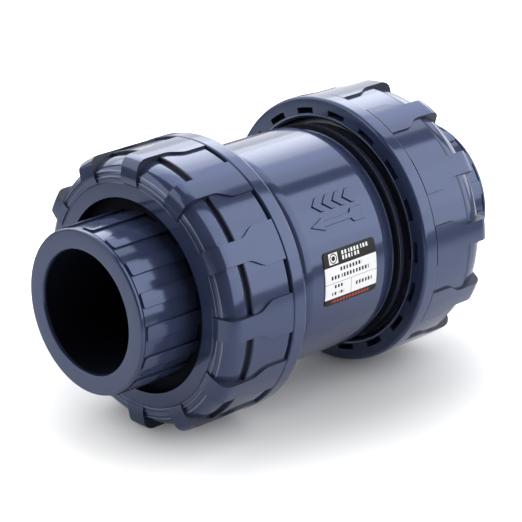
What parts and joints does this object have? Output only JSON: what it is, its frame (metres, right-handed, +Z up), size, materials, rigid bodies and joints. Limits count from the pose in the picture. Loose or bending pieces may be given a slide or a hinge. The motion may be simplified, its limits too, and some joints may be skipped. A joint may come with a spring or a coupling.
{
  "type": "check valve",
  "caption": "True-union ball check valve for solvent-weld pipe: two lugged union nuts draw socketed end connectors onto a body in which a loose ball closes against back-flow.",
  "frame": {"origin": "middle of the valve, on the flow axis", "axes": "+X along the flow axis towards the inlet, +Z up as the valve lies, right-handed"},
  "size_m": [0.1658, 0.0966, 0.0966],
  "materials": {
    "pvc_body": "moulded semi-gloss",
    "pvc_nut": "moulded semi-gloss",
    "pvc_connector": "moulded semi-gloss",
    "pvc_insert": "machined satin",
    "pvc_ball": "turned smooth",
    "seal_rubber": "matt",
    "label_film": "printed film"
  },
  "bodies": {
    "valve_body": {"valve_body": "pvc_body", "spec_label": "label_film", "ball_seat": "seal_rubber", "seat_support_ring": "pvc_insert", "support_ring_o_ring": "seal_rubber", "seat_retaining_ring": "pvc_insert", "face_o_ring_inlet": "seal_rubber", "face_o_ring_outlet": "seal_rubber"},
    "ball": {"check_ball": "pvc_ball"},
    "outlet_connector": {"end_connector_outlet": "pvc_connector"},
    "outlet_nut": {"union_nut_outlet": "pvc_nut"},
    "inlet_connector": {"end_connector_inlet": "pvc_connector"},
    "inlet_nut": {"union_nut_inlet": "pvc_nut"}
  },
  "joints": [
    {"name": "ball_lift", "type": "slide", "parent": "valve_body", "child": "ball", "axis": [-1, 0, 0], "range_m": [0, 0.018]},
    {"name": "outlet_union_slide", "type": "slide", "parent": "valve_body", "child": "outlet_connector", "axis": [-1, 0, 0], "range_m": [0, 0.01751]},
    {"name": "outlet_nut_thread", "type": "hinge", "parent": "outlet_connector", "child": "outlet_nut", "pos_m": [-0.045, 0, 0], "axis": [-1, 0, 0], "range_deg": [0, 1260]},
    {"name": "inlet_union_slide", "type": "slide", "parent": "valve_body", "child": "inlet_connector", "axis": [1, 0, 0], "range_m": [0, 0.01751]},
    {"name": "inlet_nut_thread", "type": "hinge", "parent": "inlet_connector", "child": "inlet_nut", "pos_m": [0.045, 0, 0], "axis": [1, 0, 0], "range_deg": [0, 1260]}
  ],
  "couplings": [
    {"joint": "outlet_union_slide", "follows": "outlet_nut_thread", "m_per_rad": 0.00079577},
    {"joint": "inlet_union_slide", "follows": "inlet_nut_thread", "m_per_rad": 0.00079577}
  ]
}
